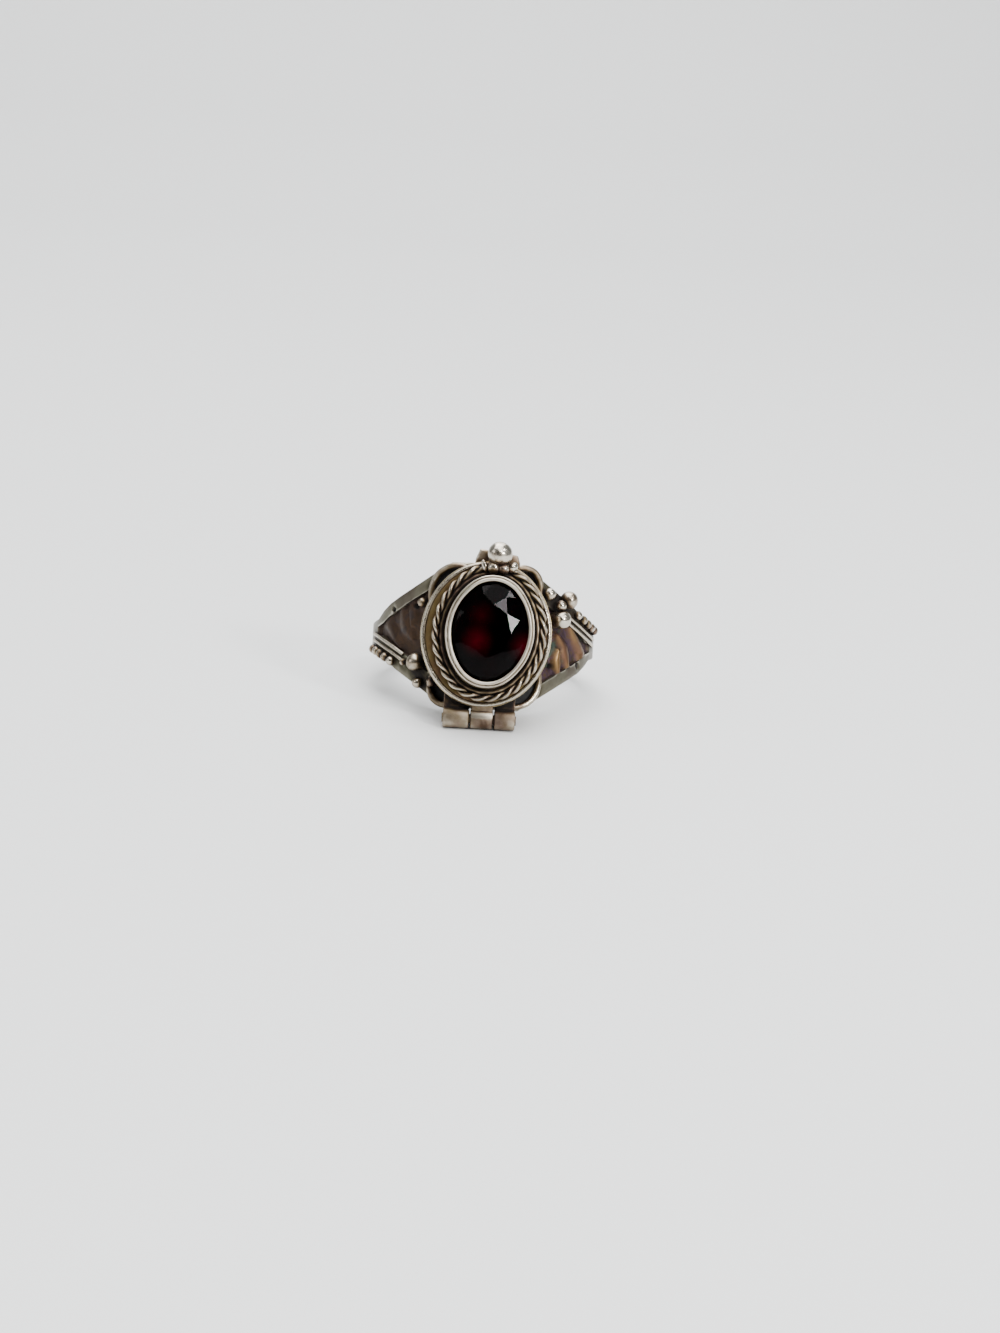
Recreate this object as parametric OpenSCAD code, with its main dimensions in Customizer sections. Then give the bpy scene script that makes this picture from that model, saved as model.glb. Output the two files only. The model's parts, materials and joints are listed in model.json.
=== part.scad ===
// Locket ring with an oval stone on a hinged lid, lying on its side.
// The ring is worked out with its finger hole along Z, its width along X and its head towards -Y.
// It then leans back about X, as far as its hinge and the back of its band let it.

/* [Finger hole and band] */
// Diameter of the finger hole
finger_d = 17.3; // [15.5:0.1:20]
// Thickness of the band at the back
back_t = 1; // [0.8:0.05:1.5]
// How far the outside of the band is set towards the head
band_shift = 0.3; // [0.1:0.05:0.5]
// Width of the band at the back
back_w = 2.5; // [2:0.1:3.2]
// Height of the shoulders where they carry the locket
shoulder_h = 12.6; // [12:0.1:13]

/* [Shoulders] */
// Depth of the recessed panels
panel_depth = 0.35; // [0.2:0.05:0.5]
// Plain margin between a panel and the bare edge
margin_w = 1; // [0.8:0.05:1.2]
// Width of a rail
rail_w = 0.3; // [0.2:0.02:0.4]
// How far rails stand above the band
rail_h = 0.2; // [0.1:0.05:0.3]
// Distance from the edge to the outer rail
rail_inset = 1.1; // [1:0.05:1.3]
// Distance between the two rails
rail_pitch = 0.46; // [0.44:0.01:0.55]
// Diameter of the granules in a row
granule_d = 0.82; // [0.6:0.02:0.9]
// Width of a raised petal
petal_w = 1.05; // [0.8:0.05:1.2]
// How far petals stand above the panel
petal_h = 0.5; // [0.4:0.02:0.6]

/* [Corner loops] */
// Radius of the large loops
large_loop_r = 2.35; // [2.2:0.05:2.5]
// Radius of the small loops
small_loop_r = 1.6; // [1.5:0.05:1.75]
// Thickness of the loop wire
loop_wire_d = 0.56; // [0.5:0.02:0.6]
// Depth of the hollow inside a loop
loop_hollow = 0.4; // [0.2:0.05:0.5]

/* [Locket box] */
// Thickness of the floor over the finger hole
floor_t = 1.1; // [0.9:0.05:1.3]
// Depth of the compartment
box_depth = 3.65; // [3:0.05:4.2]
// Wall of the box
box_wall = 0.7; // [0.5:0.05:0.9]
// How far the lid overhangs the box
lid_overhang = 0.15; // [0.05:0.05:0.2]
// Turn of the head against the band, in degrees
head_twist = 4.8; // [0:0.2:5]

/* [Lid] */
// Width of the lid
lid_w = 11.1; // [10.7:0.05:11.2]
// Height of the lid
lid_h = 12.4; // [12:0.05:12.5]
// Thickness of the lid plate
lid_t = 0.6; // [0.5:0.05:0.8]
// Thickness of the wire on the lid's edge
rim_wire_d = 0.4; // [0.3:0.02:0.44]
// Sideways place of the setting on the lid
setting_x = 0.24; // [0.1:0.02:0.25]
// Upward place of the setting on the lid
setting_z = 0.16; // [0.1:0.02:0.2]
// Thickness of the rope wire
rope_d = 0.62; // [0.56:0.02:0.66]
// Number of lobes in the rope wire
rope_lobes = 30; // [24:1:36]
// Thickness of the plain wire
plain_wire_d = 0.46; // [0.4:0.02:0.5]

/* [Stone and bezel] */
// Width of the stone
stone_w = 7; // [6.8:0.05:7.1]
// Height of the stone
stone_h = 9; // [8.8:0.05:9.2]
// Height of the stone's crown
crown_h = 0.95; // [0.85:0.05:1.1]
// Depth of the stone's pavilion
pavilion_h = 2.2; // [2:0.05:2.6]
// Thickness of the stone's girdle
girdle_t = 0.14; // [0.1:0.02:0.2]
// Outer wall of the bezel beyond the stone
bezel_wall = 0.2; // [0.18:0.01:0.24]
// How far the lip folds over the stone
lip_w = 0.3; // [0.2:0.01:0.3]
// Height of the lip above the stone's girdle
lip_h = 0.55; // [0.5:0.01:0.6]
// Width of the seat under the stone's edge
seat_w = 0.5; // [0.45:0.01:0.55]

/* [Clasp] */
// Diameter of the clasp ball
clasp_ball_d = 2.1; // [1.8:0.05:2.3]
// Diameter of the granules at the clasp
clasp_granule_d = 0.8; // [0.7:0.02:0.9]
// Width of the catch behind the clasp ball
catch_w = 4; // [3.4:0.1:4.4]
// Thickness of the catch
catch_t = 0.85; // [0.6:0.05:1]

/* [Hinge] */
// Outer diameter of the knuckles
knuckle_d = 1.7; // [1.6:0.02:1.8]
// Width of the left knuckle
left_knuckle_w = 2.2; // [1.9:0.05:2.3]
// Width of the middle knuckle
middle_knuckle_w = 1.9; // [1.6:0.05:2]
// Width of the right knuckle
right_knuckle_w = 1.75; // [1.6:0.05:1.9]
// Gap between two knuckles
knuckle_gap = 0.12; // [0.08:0.02:0.2]
// Diameter of the hinge pin
pin_d = 0.8; // [0.7:0.02:0.9]

/* [Fits] */
// Clearance of the hinge pin in its bores, on the radius
pin_clearance = 0.03; // [0.02:0.01:0.05]
// Gap between the closed lid and the box
lid_gap = 0.07; // [0.05:0.01:0.12]
// Gap between the lid's edge and the knuckles
edge_gap = 0.12; // [0.12:0.02:0.3]
// Gap between the stone and its bezel
stone_gap = 0.07; // [0.06:0.01:0.1]

/* [Hidden] */
$fn = 64;

silver = [0.72, 0.69, 0.63];
worn_silver = [0.8, 0.77, 0.71];
garnet_red = [0.24, 0.01, 0.04];

finger_r = finger_d / 2;
band_r = finger_r + back_t + band_shift;
half_h = shoulder_h / 2;
// Half the length of blanks and cutters that run right through the band
reach = 1.4 * band_r;
// How deep soldered pieces run into each other
weld = 0.05;

// Heights above the finger hole's axis, measured towards the head
floor_y = finger_r + floor_t;
rim_y = floor_y + box_depth;
lid_y = rim_y + lid_gap;
plate_y = lid_y + lid_t;

lid_a = lid_w / 2;
lid_b = lid_h / 2;
box_a = lid_a - lid_overhang;
box_b = lid_b - lid_overhang;
stone_a = stone_w / 2;
stone_b = stone_h / 2;

knuckle_r = knuckle_d / 2;
pin_r = pin_d / 2;
hinge_z = -(lid_b + edge_gap + knuckle_r);
hinge_left = -(left_knuckle_w + knuckle_gap + middle_knuckle_w / 2);
hinge_right = right_knuckle_w + knuckle_gap + middle_knuckle_w / 2;

// The ring rests on its knuckles and on the lower edge at the back of its band
rest_run = rim_y + finger_r + back_t;
rest_rise = -hinge_z - back_w / 2;
lean = atan2(rest_rise, rest_run) + asin(knuckle_r / norm([rest_run, rest_rise]));

// Upper edge of the right shoulder. Columns: share of the band's radius, share of half the
// shoulder height
shoulder_edge = [[0.322, 1], [0.844, 0.437], [0.9, 0.34], [0.95, 0.22], [1.06, 0.14]];
// Taper from the back of the band to the head, seen from the side. Columns: share of the band's
// radius towards the head, share of the way from half the back width to half the shoulder height
band_taper = [[-0.1, 0], [0.4, 0.17], [0.62, 0.38], [0.8, 0.72], [1.2, 1.6]];
edge_from = [shoulder_edge[0][0] * band_r, shoulder_edge[0][1] * half_h];
edge_to = [shoulder_edge[1][0] * band_r, shoulder_edge[1][1] * half_h];
edge_slope = (edge_to[1] - edge_from[1]) / (edge_to[0] - edge_from[0]);
// Drop straight down for each millimetre measured square to the edge
edge_drop = norm([1, edge_slope]);

// Where rails, panels and granules begin and end, as shares of the band's radius
rail_from = 0.7;
rail_to = 0.97;
panel_from = 0.48;
panel_to = 0.95;
row_from = 0.8;
row_to = 0.96;
row_count = 5;
// Height of a row granule's centre above the band, as a share of its diameter
row_lift = 0.22;

// Petals on the right panel, turned half round for the left one. Columns: root x, root z, tip x, tip z,
// as shares of the band's radius and half the shoulder height
petals = [[0.66, -0.03, 0.64, -0.46], [0.75, 0, 0.74, -0.41], [0.83, 0.08, 0.87, -0.29]];

// Balls on the shoulders. Columns: x and z as shares of the band's radius and half height,
// diameter in millimetres, and height of the centre above the band as a share of the diameter
shoulder_balls = [
    [-0.565, -0.4, 1.6, 0.3], [-0.69, -0.4, 0.6, 0.3], [-0.55, -0.68, 0.95, 0.3], [-0.43, -0.66, 0.9, 0.4],
    [-0.56, 0.43, 0.85, 0], [0.52, 0.635, 1.1, 0.4], [0.69, 0.58, 1.55, 0.3], [0.61, 0.49, 0.95, 0.7],
    [0.625, 0.3, 1.65, 0.35]
];

// Corner loops. Columns: x and z of the centre as shares of the band's radius and half height, 1 for large
corner_loops = [[-0.27, 0.57, 1], [0.27, -0.57, 1], [-0.31, -0.71, 0], [0.31, 0.71, 0]];

// Granules on the lid by the clasp. Columns: x and z as shares of half the lid's size,
// diameter as a share of a clasp granule's, and height of the centre above the lid as such a share
clasp_granules = [
    [-0.03, 0.925, 1.1, 0.6], [0.12, 0.935, 1.1, 0.6], [0.27, 0.975, 0.95, 0.45], [-0.17, 0.975, 0.85, 0.3]
];
clasp_ball_x = 0.04 * lid_a;
clasp_ball_z = 1.1 * lid_b;

// The plain wire stands a little off the bezel's wall, and the rope is pushed up against it
wire_standoff = 0.12;
rope_push = 0.04;
rope_slant = 34;
wire_a = stone_a + bezel_wall + wire_standoff + plain_wire_d / 2;
rope_a = wire_a + plain_wire_d / 2 + rope_d / 2 - rope_push;

// An oval of four arcs, each a quarter turn. Its side arcs have their centres across the oval
function oval_shift(a, b) = (b - a) / (2 - sqrt(2));
function side_r(a, b) = a + oval_shift(a, b);
function end_r(a, b) = b - oval_shift(a, b);
function on_side(turn) = abs(cos(turn)) > abs(sin(turn));
function oval_point(a, b, turn) = on_side(turn)
    ? [side_r(a, b) * cos(turn) - sign(cos(turn)) * oval_shift(a, b), side_r(a, b) * sin(turn)]
    : [end_r(a, b) * cos(turn), end_r(a, b) * sin(turn) + sign(sin(turn)) * oval_shift(a, b)];
// Direction of the outward normal at a share of the way round, in even steps along the oval
function oval_turn(a, b, share) =
    let (
        half = share >= 0.5 ? share - 0.5 : share,
        way = 2 * half * (side_r(a, b) + end_r(a, b)),
        turn = way < side_r(a, b)
            ? -45 + 90 * way / side_r(a, b)
            : 45 + 90 * (way - side_r(a, b)) / end_r(a, b)
    )
    turn + (share >= 0.5 ? 180 : 0);

function edge_z(x) = edge_from[1] + edge_slope * (x - edge_from[0]);
function inside_edge(x, inset) = [x, edge_z(x) - inset * edge_drop];

// Turns a profile along the four arcs of an oval, in a plane, with the profile's x = 0 on the oval itself
module along_oval(a, b) {
    s = oval_shift(a, b);
    for (side = [0, 1]) {
        rotate(180 * side) {
            translate([-s, 0])
                rotate(-45)
                    rotate_extrude(angle = 90, $fn = 128) translate([side_r(a, b), 0]) children();
            translate([0, s])
                rotate(45)
                    rotate_extrude(angle = 90, $fn = 128) translate([end_r(a, b), 0]) children();
        }
    }
}

// Flat oval of the same four arcs: two wide circles crossing, closed by two end circles
module oval_shape(a, b) {
    s = oval_shift(a, b);
    half_band = s + end_r(a, b) * sin(45);
    intersection() {
        translate([-s, 0]) circle(r = side_r(a, b), $fn = 128);
        translate([s, 0]) circle(r = side_r(a, b), $fn = 128);
        square([3 * a, 2 * half_band], center = true);
    }
    for (side = [-1, 1]) {
        translate([0, side * s]) circle(r = end_r(a, b), $fn = 128);
    }
}

module oval_plate(a, b, h) {
    linear_extrude(h) oval_shape(a, b);
}

// A wire laid flat along an oval, as a wide step with a narrow one on it
module oval_wire(a, b, w, h) {
    for (step = [[w, h * 0.7], [w * 0.55, h]]) {
        linear_extrude(step[1]) difference() {
            oval_shape(a + step[0] / 2, b + step[0] / 2);
            oval_shape(a - step[0] / 2, b - step[0] / 2);
        }
    }
}

// Places the head's own x, y and height at a distance from the finger hole's axis
module at_head(distance) {
    rotate([0, head_twist, 0])
        translate([0, -distance, 0])
            rotate([90, 0, 0])
                children();
}

// Places the setting, which sits a little off the middle of the lid
module at_setting() {
    at_head(plate_y) translate([setting_x, setting_z, 0]) children();
}

module at_rest() {
    rotate([-lean, 0, 0]) children();
}

module both_shoulders() {
    children();
    rotate([0, 180, 0]) children();
}

// Drives a flat shape, drawn as seen from the front, back to the finger hole's axis
module from_front() {
    rotate([90, 0, 0]) linear_extrude(reach) children();
}

// A layer of the band between two heights above it, in the outline of a flat shape
module band_layer(low, high) {
    intersection() {
        translate([0, -band_shift, 0]) difference() {
            cylinder(r = band_r + high, h = 2 * reach, center = true, $fn = 180);
            cylinder(r = band_r + low, h = 3 * reach, center = true, $fn = 180);
        }
        from_front() children();
    }
}

// Places something on the band at a width and a height, at a distance above its surface
module on_band(x, z, lift) {
    translate([0, -band_shift, 0])
        rotate(asin(x / band_r))
            translate([0, -band_r - lift, z])
                children();
}

// The band's width seen from the side, drawn with the head towards negative x
module taper_outline() {
    back = back_w / 2;
    edge = [for (p = band_taper) [-p[0] * band_r, back + p[1] * (half_h - back)]];
    last = len(edge) - 1;
    polygon(concat(
        [[reach, -back], [reach, back]],
        edge,
        [for (i = [last:-1:0]) [edge[i][0], -edge[i][1]]]
    ));
}

// A ball whose poles lie along Y, across the surface that it is soldered to
module ball(d) {
    rotate([90, 0, 0]) sphere(d = d, $fn = 48);
}

module shoulder_outline() {
    right = [for (p = shoulder_edge) [p[0] * band_r, p[1] * half_h]];
    count = len(right);
    polygon(concat(
        right,
        [for (i = [count - 1:-1:0]) [right[i][0], -right[i][1]]],
        [for (i = [0:count - 1]) [-right[i][0], -right[i][1]]],
        [for (i = [count - 1:-1:0]) [-right[i][0], right[i][1]]]
    ));
}

// The band before its finger hole is cut
module band_blank() {
    intersection() {
        translate([0, -band_shift, 0]) cylinder(r = band_r, h = 2 * reach, center = true, $fn = 180);
        rotate([90, 0, 0]) linear_extrude(2 * reach, center = true) shoulder_outline();
        rotate([90, 0, 90]) linear_extrude(2 * reach, center = true) taper_outline();
    }
}

module panel_shape() {
    top = rail_inset + rail_pitch;
    x0 = panel_from * band_r;
    x1 = panel_to * band_r;
    lower0 = inside_edge(x0, margin_w);
    lower1 = inside_edge(x1, margin_w);
    polygon([inside_edge(x0, top), inside_edge(x1, top), [x1, -lower1[1]], [x0, -lower0[1]]]);
}

module rail_shape(inset, x0, x1) {
    low = inset + rail_w / 2;
    high = inset - rail_w / 2;
    polygon([inside_edge(x0, low), inside_edge(x1, low), inside_edge(x1, high), inside_edge(x0, high)]);
}

// A leaf between two points, bounded by two arcs
module leaf_shape(root, tip, w) {
    span = norm(tip - root);
    arc_r = (span * span / 4 + w * w / 4) / w;
    translate((root + tip) / 2)
        rotate(atan2(tip[1] - root[1], tip[0] - root[0]))
            intersection() {
                translate([0, arc_r - w / 2]) circle(r = arc_r, $fn = 96);
                translate([0, w / 2 - arc_r]) circle(r = arc_r, $fn = 96);
            }
}

module petal_relief() {
    for (p = petals) {
        band_layer(-panel_depth - weld, petal_h - panel_depth)
            leaf_shape([p[0] * band_r, p[1] * half_h], [p[2] * band_r, p[3] * half_h], petal_w);
    }
}

module rails() {
    for (inset = [rail_inset, rail_inset + rail_pitch]) {
        band_layer(-panel_depth - weld, rail_h)
            rail_shape(inset, rail_from * band_r, rail_to * band_r);
    }
}

// Granules between the outer rail and the edge, stepped evenly round the band
module granule_row() {
    from_turn = asin(row_from);
    to_turn = asin(row_to);
    for (i = [0:row_count - 1]) {
        x = band_r * sin(from_turn + (to_turn - from_turn) * i / (row_count - 1));
        on_band(x, inside_edge(x, rail_inset / 2 - weld)[1], granule_d * row_lift)
            ball(granule_d);
    }
}

module balls() {
    for (b = shoulder_balls) {
        on_band(b[0] * band_r, b[1] * half_h, b[3] * b[2]) ball(b[2]);
    }
}

function loop_r(large) = large == 1 ? large_loop_r : small_loop_r;

module loop_wires() {
    for (c = corner_loops) {
        on_band(c[0] * band_r, c[1] * half_h, 0)
            rotate([90, 0, 0])
                rotate_extrude($fn = 96) translate([loop_r(c[2]), 0]) circle(d = loop_wire_d, $fn = 32);
    }
}

module loop_hollows() {
    for (c = corner_loops) {
        on_band(c[0] * band_r, c[1] * half_h, -loop_hollow)
            rotate([90, 0, 0])
                cylinder(r = loop_r(c[2]) - loop_wire_d / 4, h = 4 * loop_hollow, $fn = 96);
    }
}

// The outside of the locket box, from inside the band up to its rim
module box_blank() {
    root_y = finger_r - back_t / 3;
    at_head(root_y) oval_plate(box_a, box_b, rim_y - root_y);
}

module compartment() {
    at_head(floor_y) oval_plate(box_a - box_wall, box_b - box_wall, box_depth + lid_t);
}

// A length of knuckle between two places along the hinge
module knuckle(x0, x1) {
    translate([x0, -rim_y, hinge_z]) rotate([0, 90, 0]) cylinder(r = knuckle_r, h = x1 - x0, $fn = 64);
}

module pin_bore() {
    translate([-reach, -rim_y, hinge_z])
        rotate([0, 90, 0])
            cylinder(r = pin_r + pin_clearance, h = 2 * reach, $fn = 48);
}

// An outer knuckle with the block that carries it on the box
module outer_knuckle(x0, x1) {
    block_drop = knuckle_r * 0.15;
    block_t = knuckle_d * 0.75;
    block_end = -box_b * 0.75;
    knuckle(x0, x1);
    translate([x0, -rim_y + block_drop, hinge_z])
        cube([x1 - x0, block_t, block_end - hinge_z]);
}

// The flat catch on the box behind the clasp ball
module catch() {
    root_z = box_b * 0.85;
    tip_z = clasp_ball_z + clasp_ball_d * 0.2;
    at_head(rim_y - catch_t - weld)
        translate([clasp_ball_x - catch_w / 2, root_z, 0])
            cube([catch_w, tip_z - root_z, catch_t]);
}

module ring_body() {
    color(silver) at_rest() difference() {
        union() {
            difference() {
                band_blank();
                both_shoulders() band_layer(-panel_depth, back_t) panel_shape();
                loop_hollows();
            }
            box_blank();
            loop_wires();
            both_shoulders() {
                petal_relief();
                rails();
                granule_row();
            }
            balls();
            outer_knuckle(hinge_left, hinge_left + left_knuckle_w);
            outer_knuckle(hinge_right - right_knuckle_w, hinge_right);
            catch();
        }
        compartment();
        pin_bore();
        cylinder(r = finger_r, h = 2 * reach, center = true, $fn = 180);
    }
}

// The bezel's section. Its x runs outwards from the stone's outline, its y up from the lid plate
module bezel_section() {
    ledge = pavilion_h * 0.82;
    girdle = pavilion_h + girdle_t;
    top = girdle + lip_h;
    step = lip_h * 0.22;
    foot = bezel_wall / 2;
    polygon([
        [-seat_w - weld, -weld],
        [-seat_w + weld, ledge],
        [stone_gap, ledge],
        [stone_gap, girdle + weld],
        [-lip_w, girdle + lip_h - 2 * step],
        [-lip_w + weld, top],
        [0, top],
        [0, top - step],
        [bezel_wall * 0.9, top - 2 * step],
        [bezel_wall, girdle],
        [bezel_wall + foot, -weld]
    ]);
}

module rope() {
    rope_b = rope_a + stone_b - stone_a;
    lobe_r = rope_d * 0.34;
    lobe_l = rope_d * 1.5;
    translate([0, 0, -weld]) oval_wire(rope_a, rope_b, rope_d * 0.8, rope_d * 0.7);
    for (i = [0:rope_lobes - 1]) {
        turn = oval_turn(rope_a, rope_b, i / rope_lobes);
        spot = oval_point(rope_a, rope_b, turn);
        translate([spot[0], spot[1], rope_d / 2])
            rotate(turn + 90 + rope_slant)
                rotate([0, 90, 0])
                    cylinder(r = lobe_r, h = lobe_l, center = true, $fn = 24);
    }
}

module plain_wire() {
    translate([0, 0, -weld])
        oval_wire(wire_a, wire_a + stone_b - stone_a, plain_wire_d, plain_wire_d + weld);
}

module rim_wire() {
    inset = rim_wire_d / 2 + weld;
    translate([0, 0, lid_t - weld])
        oval_wire(lid_a - inset, lid_b - inset, rim_wire_d, rim_wire_d / 2);
}

module clasp() {
    root_r = clasp_ball_d * 0.42;
    ball_lift = clasp_ball_d * 0.3;
    at_head(lid_y) translate([clasp_ball_x, lid_b, 0]) cylinder(r = root_r, h = lid_t, $fn = 48);
    at_head(plate_y + ball_lift)
        translate([clasp_ball_x, clasp_ball_z, 0])
            ball(clasp_ball_d);
    for (g = clasp_granules) {
        at_head(plate_y + g[3] * clasp_granule_d)
            translate([g[0] * lid_a, g[1] * lid_b, 0])
                ball(g[2] * clasp_granule_d);
    }
}

module middle_knuckle() {
    x = middle_knuckle_w / 2;
    knuckle(-x, x);
    translate([-x, -plate_y + weld, hinge_z])
        cube([middle_knuckle_w, lid_t - 2 * weld, -hinge_z - lid_b * 0.9]);
}

module lid() {
    color(worn_silver) at_rest() difference() {
        union() {
            at_head(lid_y) {
                oval_plate(lid_a, lid_b, lid_t);
                rim_wire();
            }
            at_setting() {
                along_oval(stone_a, stone_b) bezel_section();
                plain_wire();
                rope();
            }
            clasp();
            middle_knuckle();
        }
        pin_bore();
    }
}

// Oval brilliant cut. Its table has eight corners, its girdle sixteen
module garnet() {
    table_share = 0.5;
    star_share = 0.72;
    low_share = 0.24;
    half_turn = 22.5;
    star_y = crown_h * (1 - star_share * cos(half_turn)) / (1 - table_share);
    low_y = -pavilion_h * (1 - low_share * cos(half_turn));
    // Columns: corners in the ring, turn of the first corner, share of the outline, height
    rings = [
        [8, 0, table_share, girdle_t + crown_h],
        [8, half_turn, star_share, girdle_t + star_y],
        [16, 0, 1, girdle_t],
        [16, 0, 1, 0],
        [8, half_turn, low_share, low_y]
    ];
    points = concat(
        [for (r = rings) for (i = [0:r[0] - 1]) let (t = r[1] + i * 360 / r[0])
            [stone_a * r[2] * cos(t), stone_b * r[2] * sin(t), r[3]]],
        [[0, 0, -pavilion_h]]
    );
    star = 8;
    upper = 16;
    lower = 32;
    low = 48;
    culet = 56;
    faces = concat(
        [[for (i = [7:-1:0]) i]],
        [for (i = [0:7]) [i, (i + 1) % 8, star + i]],
        [for (i = [0:7]) [i, star + i, upper + 2 * i, star + (i + 7) % 8]],
        [for (i = [0:7]) [star + i, upper + 2 * i + 1, upper + 2 * i]],
        [for (i = [0:7]) [star + i, upper + (2 * i + 2) % 16, upper + 2 * i + 1]],
        [for (i = [0:15]) [upper + i, upper + (i + 1) % 16, lower + (i + 1) % 16, lower + i]],
        [for (i = [0:7]) [lower + 2 * i, lower + 2 * i + 1, low + i]],
        [for (i = [0:7]) [lower + 2 * i + 1, lower + (2 * i + 2) % 16, low + i]],
        [for (i = [0:7]) [lower + 2 * i, low + i, culet, low + (i + 7) % 8]]
    );
    color(garnet_red) at_rest() at_setting() translate([0, 0, pavilion_h + stone_gap / 2])
        polyhedron(points = points, faces = faces);
}

module hinge_pin() {
    overrun = 0.1;
    color(silver) at_rest()
        translate([hinge_left - overrun, -rim_y, hinge_z])
            rotate([0, 90, 0])
                cylinder(r = pin_r, h = hinge_right - hinge_left + 2 * overrun, $fn = 48);
}

ring_body();
lid();
garnet();
hinge_pin();
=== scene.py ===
import json
import math
import bpy
import bmesh
from mathutils import Matrix, Vector, noise
from mathutils.bvhtree import BVHTree


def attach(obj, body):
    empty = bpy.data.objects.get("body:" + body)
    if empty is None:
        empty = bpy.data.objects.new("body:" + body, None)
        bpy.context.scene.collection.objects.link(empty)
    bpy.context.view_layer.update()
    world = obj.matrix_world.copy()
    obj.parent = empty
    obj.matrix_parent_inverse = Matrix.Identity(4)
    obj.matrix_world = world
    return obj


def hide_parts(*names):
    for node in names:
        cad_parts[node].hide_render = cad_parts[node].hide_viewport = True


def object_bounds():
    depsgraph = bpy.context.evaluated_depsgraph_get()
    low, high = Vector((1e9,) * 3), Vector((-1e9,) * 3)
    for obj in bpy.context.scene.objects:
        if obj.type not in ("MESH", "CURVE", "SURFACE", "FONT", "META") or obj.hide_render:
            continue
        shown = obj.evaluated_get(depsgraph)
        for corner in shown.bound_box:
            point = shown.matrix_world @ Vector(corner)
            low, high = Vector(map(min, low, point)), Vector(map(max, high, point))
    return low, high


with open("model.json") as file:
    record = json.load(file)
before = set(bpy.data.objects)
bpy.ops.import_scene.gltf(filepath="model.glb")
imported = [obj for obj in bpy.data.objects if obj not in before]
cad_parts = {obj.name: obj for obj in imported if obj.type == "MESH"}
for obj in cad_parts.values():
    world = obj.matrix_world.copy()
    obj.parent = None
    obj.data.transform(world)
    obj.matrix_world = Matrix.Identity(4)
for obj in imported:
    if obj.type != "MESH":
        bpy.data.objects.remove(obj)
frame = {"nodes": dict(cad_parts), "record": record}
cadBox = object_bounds()

# Pieces are modelled in millimetres round the finger hole's axis, head towards -Y, then laid on their side
hole = frame["record"]["mounts"][0]
lean = math.atan2(hole["axis"][1], hole["axis"][2])
toWorld = Matrix.Rotation(-lean, 4, "X") @ Matrix.Scale(0.001, 4)
pivot = toWorld.inverted() @ Vector(frame["record"]["behaviour"]["joints"][0]["pos_m"])
ring = {
    "bore": hole["dims"]["r_mm"], "band": 9.95, "shift": 0.3, "halfHeight": 6.3, "backHalf": 1.25,
    "twist": 4.8, "rim": -pivot.y, "hingeZ": pivot.z, "lidGap": 0.07, "lidThick": 0.6,
    "setting": (0.24, 0.16),
}
lidBottom = ring["rim"] + ring["lidGap"]
lidTop = lidBottom + ring["lidThick"]
headTurn = Matrix.Rotation(math.radians(ring["twist"]), 4, "Y")
toHead = toWorld @ headTurn @ Matrix.Rotation(math.pi / 2, 4, "X")
toSetting = toHead @ Matrix.Translation((*ring["setting"], lidTop))
halfTurn = Matrix.Rotation(math.pi, 4, "Y")
weld = 0.0005
pieces = []


# A table's value at x, on the straight line between its rows
def between(table, x):
    if x <= table[0][0]:
        return table[0][1]
    for (x0, y0), (x1, y1) in zip(table, table[1:]):
        if x <= x1:
            return y0 + (y1 - y0) * (x - x0) / (x1 - x0)
    return table[-1][1]


# A soft step from 0 to 1
def ease(low, high, x):
    share = min(1, max(0, (x - low) / (high - low)))
    return share * share * (3 - 2 * share)


def ovalShift(a, b):
    return (b - a) / (2 - math.sqrt(2))


# A place on an oval of four arcs, and its outward direction, at a share of the way round
def ovalPlace(a, b, share):
    shift = ovalShift(a, b)
    side, end = a + shift, b - shift
    half = share % 1 % 0.5
    way = 2 * half * (side + end)
    turn = -45 + 90 * way / side if way < side else 45 + 90 * (way - side) / end
    turn = math.radians(turn + (180 if share % 1 >= 0.5 else 0))
    c, s = math.cos(turn), math.sin(turn)
    if abs(c) > abs(s):
        return Vector((side * c - math.copysign(shift, c), side * s, 0)), Vector((c, s, 0))
    return Vector((end * c, end * s + math.copysign(shift, s), 0)), Vector((c, s, 0))


# Turns a profile of (offset outwards, height) along an oval, one arc after another
def sweepOval(a, b, profile, closed=True, steps=40):
    bm = bmesh.new()
    shift = ovalShift(a, b)
    diagonal = math.sqrt(0.5)
    row = []
    for out, height in profile:
        reach = (a + shift + out) * diagonal
        row.append(bm.verts.new((reach - shift, -reach, height)))
    line = [bm.edges.new(pair) for pair in zip(row, row[1:])]
    if closed:
        line.append(bm.edges.new((row[-1], row[0])))
    geom = row + line
    for centre in ((-shift, 0, 0), (0, shift, 0), (shift, 0, 0), (0, -shift, 0)):
        geom = bmesh.ops.spin(bm, geom=geom, cent=centre, axis=(0, 0, 1), angle=math.pi / 2,
                              steps=steps)["geom_last"]
    bmesh.ops.remove_doubles(bm, verts=bm.verts, dist=weld)
    if not closed:
        bmesh.ops.holes_fill(bm, edges=bm.edges, sides=0)
    return bm


# Turns an open or closed line of (distance, height) round Z, or of (place, distance) round X
def turnLine(line, axis="Z", closed=False, steps=40):
    bm = bmesh.new()
    verts = [bm.verts.new((x, 0, z)) for x, z in line]
    edges = [bm.edges.new(pair) for pair in zip(verts, verts[1:])]
    if closed:
        edges.append(bm.edges.new((verts[-1], verts[0])))
    bmesh.ops.spin(bm, geom=verts + edges, cent=(0, 0, 0), axis=(1, 0, 0) if axis == "X" else (0, 0, 1),
                   angle=2 * math.pi, steps=steps, use_merge=True)
    bmesh.ops.remove_doubles(bm, verts=bm.verts, dist=weld)
    return bm


# A round section for sweepOval
def circle(radius, out, height, count=14):
    turns = [2 * math.pi * i / count for i in range(count)]
    return [(out + radius * math.cos(t), height + radius * math.sin(t)) for t in turns]


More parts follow.
